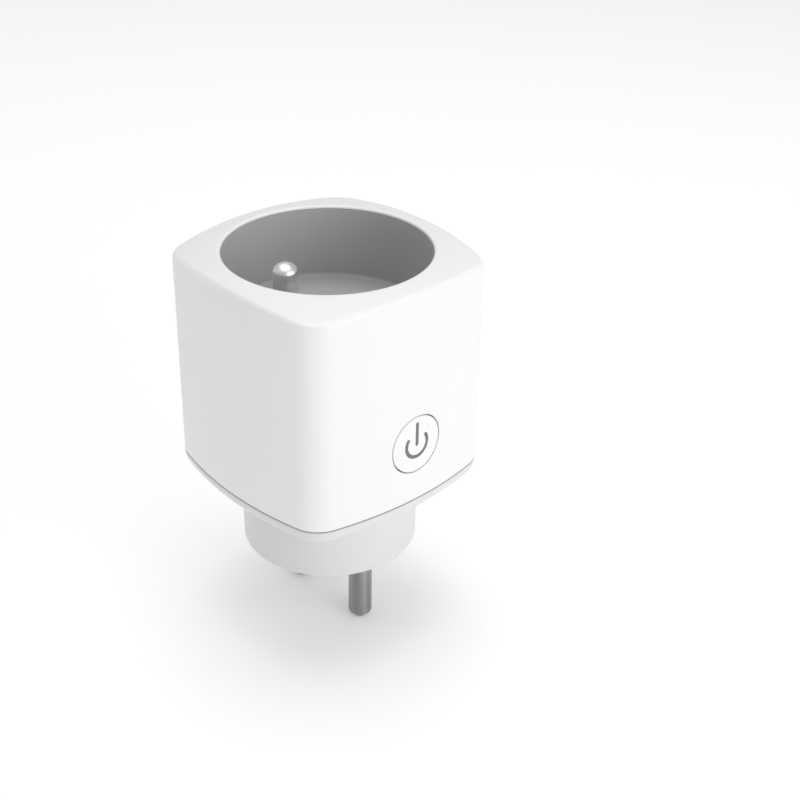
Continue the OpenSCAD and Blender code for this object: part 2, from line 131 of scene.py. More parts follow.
# the cover: round boss, tapered band, and a spigot inside the housing
BOSS_R = 17.6 * MM
BOSS_H = 15.1 * MM
BOSS_WALL = 2 * MM
BOSS_FLOOR = 2.5 * MM
BOSS_EDGE_R = 0.45 * MM
BAND_INSET = 2.2 * MM
SPIGOT = 1 * MM
SPIGOT_H = 3 * MM
FLANGE = 2 * MM
# the pins inside the case
SHANK_R = 2.6 * MM
PIN_FOOT_R = 3.4 * MM
# the screws and their posts
SCREW_AT = 16.9 * MM
SCREW_HEAD_R = 1.8 * MM
SCREW_HOLE_R = 1.15 * MM
POST_R = 2.1 * MM
CARRIER_SCREW_Y = 17.6 * MM
CARRIER_HEAD_R = 1.6 * MM
# the button, its port in the front side, and its symbol
BUTTON_R = 5.8 * MM
BUTTON_GAP = 0.25 * MM
PORT_FILLET = 0.1 * MM
COLLAR_R = 7.3 * MM
COLLAR_BACK_Y = -20.6 * MM
PLUNGER_R = 1.7 * MM
SYMBOL_R = 2.6 * MM
SYMBOL_LINE = 0.75 * MM
SYMBOL_OPEN_DEG = 57
SYMBOL_BAR = (-0.35 * MM, 4.75 * MM)
# how far the symbol's print stands proud of the cap
INK = 0.012 * MM

# the outline's points: the sides' centres lie ARC_BACK behind the origin
ARC_BACK = SIDE_ARC_R - HALF_W
CORNER_AT = (math.sqrt(2 * (SIDE_ARC_R - CORNER_R) ** 2 - ARC_BACK ** 2) - ARC_BACK) / 2
CORNER_ANGLE = math.atan2(CORNER_AT, CORNER_AT + ARC_BACK)
SIDE_STEPS = 36
CORNER_STEPS = 20
FRONT_SIDE = 3 * (SIDE_STEPS + CORNER_STEPS)
# the square grid around the port
PORT_HALF = 8.6 * MM
PORT_ROWS = 17
PORT_STEPS = 7


# ------------------------ mesh helpers


def spread(a, b, steps):
    """steps + 1 even values from a to b."""
    return [a + (b - a) * i / steps for i in range(steps + 1)]


def polar(r, a, cx, cy, turned):
    """A point at radius r and angle a around (cx, cy), turned about the origin."""
    x, y = cx + r * math.cos(a), cy + r * math.sin(a)
    c, s = math.cos(turned), math.sin(turned)
    return Vector((x * c - y * s, x * s + y * c))


def outline(inset=0.0):
    """The body's outline, set in by inset: four long arcs joined by four corner arcs."""
    points = []
    for quarter in range(4):
        turned = math.pi / 2 * quarter
        for i in range(SIDE_STEPS):
            a = CORNER_ANGLE * (2 * i / SIDE_STEPS - 1)
            points.append(polar(SIDE_ARC_R - inset, a, -ARC_BACK, 0, turned))
        for i in range(CORNER_STEPS):
            a = CORNER_ANGLE + (math.pi / 2 - 2 * CORNER_ANGLE) * i / CORNER_STEPS
            points.append(polar(CORNER_R - inset, a, CORNER_AT, CORNER_AT, turned))
    return points


def circle(radius):
    """A circle with a point in the direction of each point of the outline."""
    return [p.normalized() * radius for p in outline()]


def level(points, z):
    """A ring of flat points at one height."""
    return [Vector((p.x, p.y, z)) for p in points]


def seam_edge(z, up):
    """Rings of the rounded edge at the seam, from z upwards if up is 1 and downwards if it is -1."""
    return [level(outline(SEAM_FILLET * (1 - math.sin(a))), z + up * SEAM_FILLET * (1 - math.cos(a)))
            for a in spread(0, math.pi / 2, 4)]


def dome_z(p):
    """Height of the domed top face above a flat point."""
    start = RECESS_R + RIM_FLAT
    return RIM_Z - max(0.0, p.length_squared - start ** 2) / (2 * DOME_R)


def lay(bm, rings):
    """Adds a vertex for each point of each ring."""
    return [[bm.verts.new(p) for p in ring] for ring in rings]


def stitch(bm, a, b, gap=()):
    """Joins two closed rings of vertices with quads, except at the places in gap."""
    n = len(a)
    for i in range(n):
        if i not in gap:
            j = (i + 1) % n
            bm.faces.new((a[i], a[j], b[j], b[i]))


def stitch_all(bm, rings):
    """Joins each ring to the next."""
    for a, b in zip(rings, rings[1:]):
        stitch(bm, a, b)


def close_ring(bm, ring, point):
    """Closes a ring with a fan around one point."""
    middle = bm.verts.new(point)
    for i, v in enumerate(ring):
        bm.faces.new((v, ring[(i + 1) % len(ring)], middle))


def mark_sharp(bm, sharp_deg=32):
    """Smooths the faces, with a sharp edge wherever two meet at more than the given angle."""
    limit = math.radians(sharp_deg)
    for face in bm.faces:
        face.smooth = True
    for edge in bm.edges:
        edge.smooth = len(edge.link_faces) == 2 and edge.calc_face_angle(0) < limit


def make_object(bm, name):
    """Turns a bmesh into an object with smooth shading and sharp edges."""
    bmesh.ops.recalc_face_normals(bm, faces=bm.faces)
    mark_sharp(bm)
    mesh = bpy.data.meshes.new(name)
    bm.to_mesh(mesh)
    bm.free()
    made = bpy.data.objects.new(name, mesh)
    bpy.context.scene.collection.objects.link(made)
    return made


def lathe(bm, profile, at=(0, 0, 0), steps=96, axis="Z"):
    """Adds a solid of revolution from (radius, height) points. Points with radius 0 close it."""
    turn = {"Z": Matrix.Identity(3), "Y": Matrix.Rotation(math.radians(-90), 3, "X"),
            "X": Matrix.Rotation(math.radians(90), 3, "Y")}[axis]
    place = Vector(at)

    def spot(r, a, h):
        return place + turn @ Vector((r * math.cos(a), r * math.sin(a), h))

    angles = [math.tau * i / steps for i in range(steps)]
    rings = [[bm.verts.new(spot(r, a, h)) for a in angles] for r, h in profile if r > 0]
    stitch_all(bm, rings)
    if profile[0][0] == 0:
        close_ring(bm, rings[0], spot(0, 0, profile[0][1]))
    if profile[-1][0] == 0:
        close_ring(bm, rings[-1], spot(0, 0, profile[-1][1]))
    if profile[0][0] > 0 and profile[-1][0] > 0:
        stitch(bm, rings[-1], rings[0])


def tube(bm, at, inner, outer, low, high, steps=32):
    """Adds an upright tube with bevelled ends."""
    bevel = 0.15 * MM
    lathe(bm, [(inner, low), (outer, low), (outer, high - bevel), (outer - bevel, high),
               (inner, high)], at, steps)


def upright(bm, at, r, low, high, steps=48):
    """Adds an upright cylinder."""
    lathe(bm, [(0, low), (r, low), (r, high), (0, high)], at, steps)


def fillet(cx, cz, r, a0, a1, steps):
    """Profile points of an arc in degrees."""
    return [(cx + r * math.cos(math.radians(a)), cz + r * math.sin(math.radians(a)))
            for a in spread(a0, a1, steps)]


def rounded_box(bm, low, high, r=0.2 * MM, segments=3):
    """Adds a box with rounded edges."""
    low, high = Vector(low), Vector(high)
    made = bmesh.ops.create_cube(bm, size=1)["verts"]
    bmesh.ops.scale(bm, vec=high - low, verts=made)
    bmesh.ops.translate(bm, vec=(low + high) / 2, verts=made)
    edges = list({e for v in made for e in v.link_edges})
    bmesh.ops.bevel(bm, geom=edges, offset=r, segments=segments, affect="EDGES", profile=0.5)


def from_node(node, x, y, z):
    """A place given in millimetres from the low corner of a CAD node's box."""
    return NODE_AT[node] + Vector((x, y, z)) * MM


def block(bm, node, offset, size, r=0.15):
    """Adds a rounded box by its low corner from a node's, and its size. All are in millimetres."""
    low = from_node(node, *offset)
    rounded_box(bm, low, low + Vector(size) * MM, r * MM, 2)


def in_mm(profile):
    """A lathe's profile given in millimetres."""
    return [(r * MM, h * MM) for r, h in profile]


def sweep(bm, points, radius, sides=10):
    """Adds a round wire through a list of points, with flat ends."""
    rings = []
    for i, p in enumerate(points):
        along = (points[min(i + 1, len(points) - 1)] - points[max(i - 1, 0)]).normalized()
        side = (side - along * side.dot(along) if i else along.orthogonal()).normalized()
        other = along.cross(side)
        rings.append([bm.verts.new(p + radius * (side * math.cos(a) + other * math.sin(a)))
                      for a in (math.tau * k / sides for k in range(sides))])
    stitch_all(bm, rings)
    close_ring(bm, rings[0], points[0])
    close_ring(bm, rings[-1], points[-1])


def cut(target, build):
    """Cuts a shape out of an object. build fills an empty bmesh with the shape."""
    bm = bmesh.new()
    build(bm)
    tool = make_object(bm, "tool")
    boolean = target.modifiers.new("cut", "BOOLEAN")
    boolean.operation = "DIFFERENCE"
    boolean.solver = "EXACT"
    boolean.use_self = True
    boolean.object = tool
    settled = target.evaluated_get(bpy.context.evaluated_depsgraph_get())
    mesh = bpy.data.meshes.new_from_object(settled)
    target.modifiers.clear()
    target.data = mesh
    bpy.data.objects.remove(tool)
    bm = bmesh.new()
    bm.from_mesh(mesh)
    bmesh.ops.remove_doubles(bm, verts=bm.verts, dist=1e-7)
    mark_sharp(bm)
    bm.to_mesh(mesh)
    bm.free()


def piece(name, slot, build, *nodes, body="housing", holes=None, material=None):
    """Builds one piece, which rides on a body and stands for the CAD nodes given."""
    bm = bmesh.new()
    build(bm)
    made = make_object(bm, name)
    if holes:
        cut(made, holes)
    weighted = made.modifiers.new("weighted", "WEIGHTED_NORMAL")
    weighted.keep_sharp = True
    weighted.weight = 80
    made.data.materials.clear()
    made.data.materials.append(material or MATERIALS[slot])
    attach(made, body)
    if nodes:
        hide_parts(*nodes)
    return made


# ------------------------ materials


def new_material(name):
    """A node material, with its tree and its shader."""
    made = bpy.data.materials.new(name)
    made.use_nodes = True
    return made, made.node_tree, made.node_tree.nodes["Principled BSDF"]


def object_space(tree, stretch=None):
    """Object coordinates, squeezed by axis if stretch says so."""
    source = tree.nodes.new("ShaderNodeTexCoord").outputs["Object"]
    if stretch:
        mapping = tree.nodes.new("ShaderNodeMapping")
        mapping.inputs["Scale"].default_value = stretch
        tree.links.new(source, mapping.inputs["Vector"])
        source = mapping.outputs["Vector"]
    return source


def noise(tree, scale, detail=2.0, stretch=None):
    """Noise in object coordinates. scale is in cycles a metre."""
    texture = tree.nodes.new("ShaderNodeTexNoise")
    texture.inputs["Scale"].default_value = scale
    texture.inputs["Detail"].default_value = detail
    tree.links.new(object_space(tree, stretch), texture.inputs["Vector"])
    return texture.outputs["Fac"]


def remap(tree, value, low, high, from_low=0.3, from_high=0.7):
    """Maps a value between two ends to low and high."""
    node = tree.nodes.new("ShaderNodeMapRange")
    node.inputs["From Min"].default_value = from_low
    node.inputs["From Max"].default_value = from_high
    node.inputs["To Min"].default_value = low
    node.inputs["To Max"].default_value = high
    tree.links.new(value, node.inputs["Value"])
    return node.outputs["Result"]


def blend_colours(tree, factor, a, b):
    """Mixes two colours by a factor."""
    node = tree.nodes.new("ShaderNodeMix")
    node.data_type = "RGBA"
    node.inputs["A"].default_value = (*a, 1)
    node.inputs["B"].default_value = (*b, 1)
    tree.links.new(factor, node.inputs["Factor"])
    return node.outputs["Result"]


def combine(tree, operation, a, b):
    """Arithmetic on two values."""
    node = tree.nodes.new("ShaderNodeMath")
    node.operation = operation
    for value, socket in ((a, node.inputs[0]), (b, node.inputs[1])):
        if isinstance(value, (int, float)):
            socket.default_value = value
        else:
            tree.links.new(value, socket)
    return node.outputs["Value"]


def relief(tree, shader, height, depth):
    """Bumps the surface by a height map that is depth deep."""
    bump = tree.nodes.new("ShaderNodeBump")
    bump.inputs["Distance"].default_value = depth
    tree.links.new(height, bump.inputs["Height"])
    tree.links.new(bump.outputs["Normal"], shader.inputs["Normal"])


def edge_factor(tree):
    """0 on flats and 1 on outer edges."""
    geometry = tree.nodes.new("ShaderNodeNewGeometry")
    return remap(tree, geometry.outputs["Pointiness"], 0, 1, 0.51, 0.58)


def shade(colour, factor):
    """A colour made lighter or darker."""
    return tuple(min(1.0, c * factor) for c in colour)


def moulded(name, colour, roughness, grain=0.12 * MM, depth=0.002 * MM, mottle=0.02,
            swing=0.05, polish=0.08, glow=0.0):
    """Moulded plastic: spark-eroded grain, slow changes of gloss, faint mottle, handled edges."""
    made, tree, shader = new_material(name)
    gloss = remap(tree, noise(tree, 90, 3), roughness - swing, roughness + swing)
    worn = combine(tree, "MULTIPLY", edge_factor(tree), polish)
    tree.links.new(combine(tree, "SUBTRACT", gloss, worn), shader.inputs["Roughness"])
    tint = blend_colours(tree, noise(tree, 35), shade(colour, 1 - mottle), shade(colour, 1 + mottle))
    tree.links.new(tint, shader.inputs["Base Color"])
    relief(tree, shader, noise(tree, 1 / grain, 3), depth)
    shader.inputs["IOR"].default_value = 1.5
    shader.inputs["Subsurface Weight"].default_value = glow
    shader.inputs["Subsurface Radius"].default_value = (1.0, 0.9, 0.8)
    shader.inputs["Subsurface Scale"].default_value = 0.6 * MM
    return made


def metal(name, colour, roughness, pitch=0.12 * MM, depth=0.0015 * MM, grain=(0.02, 0.02, 1),
          swing=0.06):
    """Plated metal: fine tool lines, patches of dulled plating and brighter rubbed edges. The colour's
    streaks follow the tool lines; with a wide swing they paint streaks of reflection.
    """
    made, tree, shader = new_material(name)
    dull = remap(tree, noise(tree, 260, 4), roughness * 0.75, roughness * 1.35)
    worn = combine(tree, "MULTIPLY", edge_factor(tree), roughness * 0.4)
    tree.links.new(combine(tree, "SUBTRACT", dull, worn), shader.inputs["Roughness"])
    # streaks in the colour along the tool lines; a wide swing makes them painted streaks of reflection
    streaks = remap(tree, noise(tree, 700, 3, grain), 0, 1)
    tint = blend_colours(tree, streaks, shade(colour, 1 - swing), shade(colour, 1 + swing))
    tree.links.new(tint, shader.inputs["Base Color"])
    relief(tree, shader, noise(tree, 1 / pitch, 3, grain), depth)
    shader.inputs["Metallic"].default_value = 1.0
    return made


def circuit_board(name):
    """Green solder mask: paler tracks in two directions that stand proud, over woven glass."""
    made, tree, shader = new_material(name)
    tracks = []
    for stretch in ((1, 0.12, 0.12), (0.12, 1, 0.12)):
        lines = noise(tree, 420, 0, stretch)
        tracks.append(remap(tree, lines, 0, 1, 0.56, 0.58))
    copper = combine(tree, "MAXIMUM", *tracks)
    tint = blend_colours(tree, copper, (0.012, 0.075, 0.028), (0.03, 0.17, 0.06))
    tree.links.new(tint, shader.inputs["Base Color"])
    weave = combine(tree, "MULTIPLY", noise(tree, 3000, 1, (1, 0.2, 1)), 0.15)
    relief(tree, shader, combine(tree, "ADD", copper, weave), 0.03 * MM)
    shader.inputs["Roughness"].default_value = 0.3
    return made


def taped(name, colour):
    """A winding under tape: turns of wire show as ribs around the middle."""
    made, tree, shader = new_material(name)
    waves = tree.nodes.new("ShaderNodeTexWave")
    waves.bands_direction = "Z"
    waves.inputs["Scale"].default_value = 700
    waves.inputs["Distortion"].default_value = 0.4
    tree.links.new(object_space(tree), waves.inputs["Vector"])
    tint = blend_colours(tree, noise(tree, 500, 3), shade(colour, 0.85), shade(colour, 1.1))
    tree.links.new(tint, shader.inputs["Base Color"])
    relief(tree, shader, waves.outputs["Fac"], 0.06 * MM)
    shader.inputs["Roughness"].default_value = 0.35
    return made


ACROSS = (1, 1, 0.02)
MATERIALS = {
    "white_shell": moulded("white_shell", (0.86, 0.86, 0.86), 0.36, mottle=0.006, glow=0.12),
    "white_button": moulded("white_button", (0.87, 0.87, 0.87), 0.3, depth=0.0012 * MM,
                            mottle=0.006, glow=0.12),
    "symbol_grey": moulded("symbol_grey", (0.16, 0.16, 0.165), 0.5, mottle=0.05, polish=0),
    # The cup's grey is painted shade: the recess is the same white plastic as the body, darkened to stand
    # in for the shade inside it.
    "cup_grey": moulded("cup_grey", (0.45, 0.45, 0.45), 0.5, grain=0.18 * MM, depth=0.004 * MM),
    "shutter_grey": moulded("shutter_grey", (0.5, 0.5, 0.5), 0.45),
    "carrier_black": moulded("carrier_black", (0.03, 0.03, 0.032), 0.5, grain=0.2 * MM,
                             depth=0.006 * MM, mottle=0.1),
    "relay_case": moulded("relay_case", (0.02, 0.06, 0.2), 0.3, mottle=0.06),
    "film_box": moulded("film_box", (0.62, 0.5, 0.08), 0.35, mottle=0.06),
    "can_sleeve": moulded("can_sleeve", (0.02, 0.022, 0.035), 0.22, mottle=0.15),
    "varistor_blue": moulded("varistor_blue", (0.03, 0.1, 0.32), 0.3, grain=0.6 * MM,
                             depth=0.03 * MM, mottle=0.15),
    "chip_black": moulded("chip_black", (0.018, 0.018, 0.019), 0.45, depth=0.005 * MM, mottle=0.1),
    "resistor_body": moulded("resistor_body", (0.2, 0.36, 0.26), 0.4, grain=0.3 * MM,
                             depth=0.01 * MM, mottle=0.08),
    "plunger_black": moulded("plunger_black", (0.02, 0.02, 0.02), 0.4, mottle=0.1),
    "led_lens": moulded("led_lens", (0.75, 0.75, 0.7), 0.15, depth=0.0005 * MM, glow=0.4),
    "winding_tape": taped("winding_tape", (0.75, 0.5, 0.05)),
    "board_green": circuit_board("board_green"),
    "nickel": metal("nickel", (0.88, 0.88, 0.87), 0.42),
    "brass": metal("brass", (0.62, 0.42, 0.15), 0.3, 0.1 * MM, 0.003 * MM, ACROSS),
    "spring_steel": metal("spring_steel", (0.5, 0.5, 0.5), 0.3, 0.05 * MM),
    "tin_plate": metal("tin_plate", (0.6, 0.6, 0.58), 0.38, 0.15 * MM, 0.003 * MM, ACROSS),
    "screw_steel": metal("screw_steel", (0.42, 0.42, 0.43), 0.32, 0.2 * MM, 0.004 * MM),
}
# The cover is the housing's white plastic, made darker: painted shade that stands in for the shade under
# the body on the band and the boss.
COVER_PAINTED_SHADE_WHITE = moulded("cover_painted_shade_white", (0.71, 0.71, 0.71), 0.4, mottle=0.006, glow=0.1)
# The plug pins: a base colour far darker than plated nickel, painted shade standing in for dark
# reflections, and a wide swing that paints vertical streaks of reflection.
PLUG_NICKEL_PAINTED_REFLECTION = metal("plug_nickel_painted_reflection", (0.3, 0.305, 0.3), 0.24, grain=ACROSS, swing=0.3)

# ------------------------ the front housing


def front_y(x, inset=0.0):
    """The front side's surface, set in by inset, at a place across it."""
    return ARC_BACK - math.sqrt((SIDE_ARC_R - inset) ** 2 - x * x)


def port_columns():
    """The first and last points of the front side between which the button's port lies."""
    step = 2 * CORNER_ANGLE / SIDE_STEPS

    def column(x):
        return FRONT_SIDE + round((math.asin(x / SIDE_ARC_R) + CORNER_ANGLE) / step)

    return column(BUTTON_X - PORT_HALF), column(BUTTON_X + PORT_HALF)


def port_border(rows):
    """The vertices around the port, in one closed walk through the first and last rows."""
    first, last = port_columns()
    return (rows[0][first:last] + [row[last] for row in rows[:-1]]
            + rows[-1][last:first:-1] + [row[first] for row in rows[:0:-1]])


def port_fill(bm, border, radius, surface):
    """Fills in from the port's square border to a circle around the button."""
    flat = [Vector((v.co.x, v.co.z)) for v in border]
    target = [BUTTON_AT + (p - BUTTON_AT).normalized() * radius for p in flat]
    previous = border
    for k in range(1, PORT_STEPS + 1):
        # the rings are closer together near the hole
        share = 1 - (1 - k / PORT_STEPS) ** 1.3
        ring = []
        for p, q in zip(flat, target):
            spot = p.lerp(q, share)
            ring.append(bm.verts.new((spot.x, surface(spot.x), spot.y)))
        stitch(bm, previous, ring)
        previous = ring
    return previous


def port_ring(bm, around, radius, depth):
    """A ring around the button's axis, in line with the vertices of another. depth gives y from x."""
    ring = []
    for v in around:
        spot = BUTTON_AT + (Vector((v.co.x, v.co.z)) - BUTTON_AT).normalized() * radius
        ring.append(bm.verts.new((spot.x, depth(spot.x), spot.y)))
    stitch(bm, around, ring)
    return ring


def corners(x, y):
    """The four places at plus and minus x and y."""
    return [(a, b) for a in (-x, x) for b in (-y, y)]


def side_heights():
    """Heights of the rings on the side, which are even over the button's port."""
    port = spread(BUTTON_Z - PORT_HALF, BUTTON_Z + PORT_HALF, PORT_ROWS)
    return [SEAM_Z + 1.2 * MM, *port, 47 * MM, 55 * MM]


def top_rings():
    """From outside to inside: the rounded edge, the domed top and the opening's fillet."""
    rings = []
    for a in spread(0, math.pi / 2, 10):
        drop = EDGE_R * (1 - math.sin(a))
        rings.append([Vector((p.x, p.y, dome_z(p) - drop))
                      for p in outline(EDGE_R * (1 - math.cos(a)))])
    edge, inner = outline(EDGE_R), circle(RECESS_R + LIP_FILLET)
    for share in spread(0, 1, 8)[1:]:
        rings.append([Vector((*spot, dome_z(spot)))
                      for spot in (p.lerp(q, share) for p, q in zip(edge, inner))])
    for a in spread(0, math.pi / 2, 7)[1:]:
        rings.append(level(circle(RECESS_R + LIP_FILLET * (1 - math.sin(a))),
                           RIM_Z - LIP_FILLET * (1 - math.cos(a))))
    return rings


def button_port(bm, front_rows, back_rows):
    """The button's hole: filleted in front, a straight bore, and a collar on the inner wall."""
    hole_r = BUTTON_R + BUTTON_GAP
    ring = port_fill(bm, port_border(front_rows), hole_r + PORT_FILLET, front_y)
    for a in spread(0, math.pi / 2, 4)[1:]:
        sunk = PORT_FILLET * (1 - math.cos(a))
        ring = port_ring(bm, ring, hole_r + PORT_FILLET * (1 - math.sin(a)),
                         lambda x, sunk=sunk: front_y(x) + sunk)
    ring = port_ring(bm, ring, hole_r, lambda x: COLLAR_BACK_Y)
    ring = port_ring(bm, ring, COLLAR_R, lambda x: COLLAR_BACK_Y)
    stitch(bm, ring, port_fill(bm, port_border(back_rows), COLLAR_R, lambda x: front_y(x, WALL)))


def housing_posts(bm):
    """A hollow post for a screw in each corner."""
    low, high = SEAM_Z + SPIGOT_H + 0.2 * MM, RIM_Z - ROOF + FINE
    for x, y in corners(SCREW_AT, SCREW_AT):
        lathe(bm, [(SCREW_HOLE_R, low), (POST_R, low), (POST_R, high), (SCREW_HOLE_R, high)],
              (x, y, 0), 32)


def front_housing(bm):
    """One closed skin: side, edge, domed top, opening, inner wall and the button's port."""
    side_z = side_heights()
    roof_z = RIM_Z - ROOF
    seam = seam_edge(SEAM_Z, 1)
    side = [level(outline(), z) for z in side_z]
    opening = [level(circle(RECESS_R), RIM_Z - LIP), level(circle(CUP_R + PLAY), RIM_Z - LIP),
               level(circle(CUP_R + PLAY), roof_z), level(outline(WALL), roof_z)]
    outside = seam + side + top_rings() + opening
    inside = [level(outline(WALL), z) for z in [*reversed(side_z), SEAM_Z]]
    rows = lay(bm, outside + inside)

    port_start, port_back = len(seam) + 1, len(outside) + 2
    first, last = port_columns()
    for k, (a, b) in enumerate(zip(rows, rows[1:] + rows[:1])):
        in_port = any(low <= k < low + PORT_ROWS for low in (port_start, port_back))
        stitch(bm, a, b, range(first, last) if in_port else ())
    button_port(bm, rows[port_start:port_start + PORT_ROWS + 1],
                rows[port_back:port_back + PORT_ROWS + 1][::-1])
    housing_posts(bm)


# ------------------------ the back cover


def band_rings():
    """The band below the seam: a rounded upper edge, and a side that curves in to the underside."""
    rings = seam_edge(SEAM_Z - SEAM_GAP, -1)
    start = SEAM_Z - SEAM_GAP - SEAM_FILLET
    arc = math.radians(72)
    for a in spread(0, arc, 9)[1:]:
        inset = BAND_INSET * (1 - math.cos(a)) / (1 - math.cos(arc))
        rings.append(level(outline(inset), start - (start - BOSS_H) * math.sin(a) / math.sin(arc)))
    return rings


def boss_rings():
    """The underside between band and boss, then the boss's root, side, rounded edge and face."""
    root_r = 0.3 * MM
    outer, inner = outline(BAND_INSET), circle(BOSS_R + root_r)
    rings = [level([p.lerp(q, share) for p, q in zip(outer, inner)], BOSS_H)
             for share in (0.08, 0.5, 0.92, 1)]
    profile = fillet(BOSS_R + root_r, BOSS_H - root_r, root_r, 90, 180, 6)[1:]
    profile += [(BOSS_R, 11 * MM), (BOSS_R, 6 * MM)]
    profile += fillet(BOSS_R - BOSS_EDGE_R, BOSS_EDGE_R, BOSS_EDGE_R, 0, -90, 7)
    profile += [(14 * MM, 0), (7 * MM, 0)]
    return rings + [level(circle(r), z) for r, z in profile]


def back_cover(bm):
    """The tapered band, the flange, the spigot and the hollow round boss as one closed skin."""
    inner_z = BOSS_H + FLANGE
    near, far = outline(WALL + FINE), outline(WALL + FINE + SPIGOT)
    spigot = [level(far, inner_z), level(far, SEAM_Z + SPIGOT_H),
              level(near, SEAM_Z + SPIGOT_H), level(near, SEAM_Z - SEAM_GAP)]
    skin = lay(bm, spigot + band_rings() + boss_rings())
    stitch_all(bm, skin)
    close_ring(bm, skin[-1], (0, 0, 0))
    inside = BOSS_R - BOSS_WALL
    hollow = [(7 * MM, BOSS_FLOOR)]
    hollow += fillet(inside - BOSS_EDGE_R, BOSS_FLOOR + BOSS_EDGE_R, BOSS_EDGE_R, -90, 0, 5)
    hollow += [(inside, inner_z)]
    core = lay(bm, [level(circle(r), z) for r, z in hollow])
    stitch_all(bm, core)
    close_ring(bm, core[0], (0, 0, BOSS_FLOOR))
    stitch(bm, core[-1], skin[0])


def cover_holes(bm):
    """The pins' holes, the earth hole with its chamfer, and the stepped screw holes."""
    chamfer = 0.25 * MM
    over = 0.5 * MM
    for y in (-PIN_Y, PIN_Y):
        upright(bm, (0, y, 0), SHANK_R + PLAY, -over, BOSS_FLOOR + over, 64)
    lathe(bm, [(0, -over), (EARTH_HOLE_R + chamfer + over, -over), (EARTH_HOLE_R, chamfer),
               (EARTH_HOLE_R, BOSS_FLOOR + over), (0, BOSS_FLOOR + over)], (EARTH_X, 0, 0), 64)
    r, seat, high = SCREW_HEAD_R + FINE, BOSS_H + 1.4 * MM, BOSS_H + FLANGE + over
    for x, y in corners(SCREW_AT, SCREW_AT):
        lathe(bm, [(0, BOSS_H - over), (r, BOSS_H - over), (r, seat), (SCREW_HOLE_R, seat),
                   (SCREW_HOLE_R, high), (0, high)], (x, y, 0), 48)


# ------------------------ the socket cup


def socket_cup(bm):
    """The recess's wall and floor."""
    corner = 0.8 * MM
    low = FLOOR_Z - CUP_FLOOR
    profile = [(0, low), (CUP_R - 0.3 * MM, low), (CUP_R, low + 0.3 * MM), (CUP_R, CUP_HIGH.z)]
    profile += [(RECESS_R + 0.2 * MM, CUP_HIGH.z), (RECESS_R, CUP_HIGH.z - 0.2 * MM)]
    profile += [(RECESS_R, z) for z in spread(CUP_HIGH.z - 1 * MM, FLOOR_Z + corner + 1 * MM, 4)]
    profile += fillet(RECESS_R - corner, FLOOR_Z + corner, corner, 0, -90, 7)
    profile += [(17 * MM, FLOOR_Z), (0, FLOOR_Z)]
    lathe(bm, profile, steps=192)


def cup_holes(bm):
    """Countersunk pin holes and the earth pin's hole."""
    over = 0.5 * MM
    sink = 0.25 * MM
    low = FLOOR_Z - CUP_FLOOR - over
    for y in (-PIN_Y, PIN_Y):
        lathe(bm, [(0, low), (PIN_HOLE_R, low), (PIN_HOLE_R, FLOOR_Z - sink),
                   (PIN_HOLE_R + sink + over, FLOOR_Z + over), (0, FLOOR_Z + over)], (0, y, 0), 64)
    upright(bm, (EARTH_X, 0, 0), SHANK_R + PLAY, low, FLOOR_Z + over, 64)


# ------------------------ pins


def earth_pin(bm):
    """The recess's earth pin, with a domed tip, a foot and a rivet below."""
    tip, even = 1.8 * MM, 0.3 * MM
    low, top = EARTH_LOW.z, EARTH_HIGH.z
    rivet_r, foot_low, foot_top = 1.6 * MM, 39.5 * MM, 40.55 * MM
    profile = [(0, low), (rivet_r, low), (rivet_r, foot_low), (PIN_FOOT_R, foot_low),
               (PIN_FOOT_R, foot_top), (SHANK_R, foot_top), (SHANK_R, FLOOR_Z - FINE),
               (SHANK_R - FINE, FLOOR_Z), (PIN_R, FLOOR_Z)]
    profile += [(PIN_R, z) for z in spread(FLOOR_Z + even, top - tip - even, 6)]
    profile += [(PIN_R * math.cos(a), top - tip * (1 - math.sin(a)))
                for a in spread(0, math.pi / 2, 16)[:-1]]
    profile.append((0, top))
    lathe(bm, profile, (EARTH_X, 0, 0))


def plug_pin(y):
    """A plug pin with a bevelled end, a shoulder in the boss and a tail up to the board."""
    tip, tip_r, tail_r, soft = 1.3 * MM, 1.35 * MM, 1 * MM, 0.15 * MM
    low, high = PIN_LOW.z, PIN_HIGH.z
    shoulder_low, shoulder_top = 7.55 * MM, 8.8 * MM
    profile = [(0, low), (tip_r - soft, low), (tip_r, low + 0.3 * soft),
               (tip_r + 0.5 * soft, low + soft), (PIN_R - 0.5 * soft, low + tip - soft),
               (PIN_R - 0.1 * soft, low + tip), (PIN_R, low + tip + soft)]
    profile += [(PIN_R, z) for z in spread(low + tip + 2 * soft, -0.3 * MM, 6)]
    profile += [(PIN_R, 0), (SHANK_R, 0), (SHANK_R, shoulder_low), (PIN_FOOT_R, shoulder_low),
                (PIN_FOOT_R, shoulder_top), (tail_r, shoulder_top),
                (tail_r, high - 0.2 * MM), (tail_r - 0.2 * MM, high), (0, high)]
    return lambda bm: lathe(bm, profile, (0, y, 0))


# ------------------------ the button


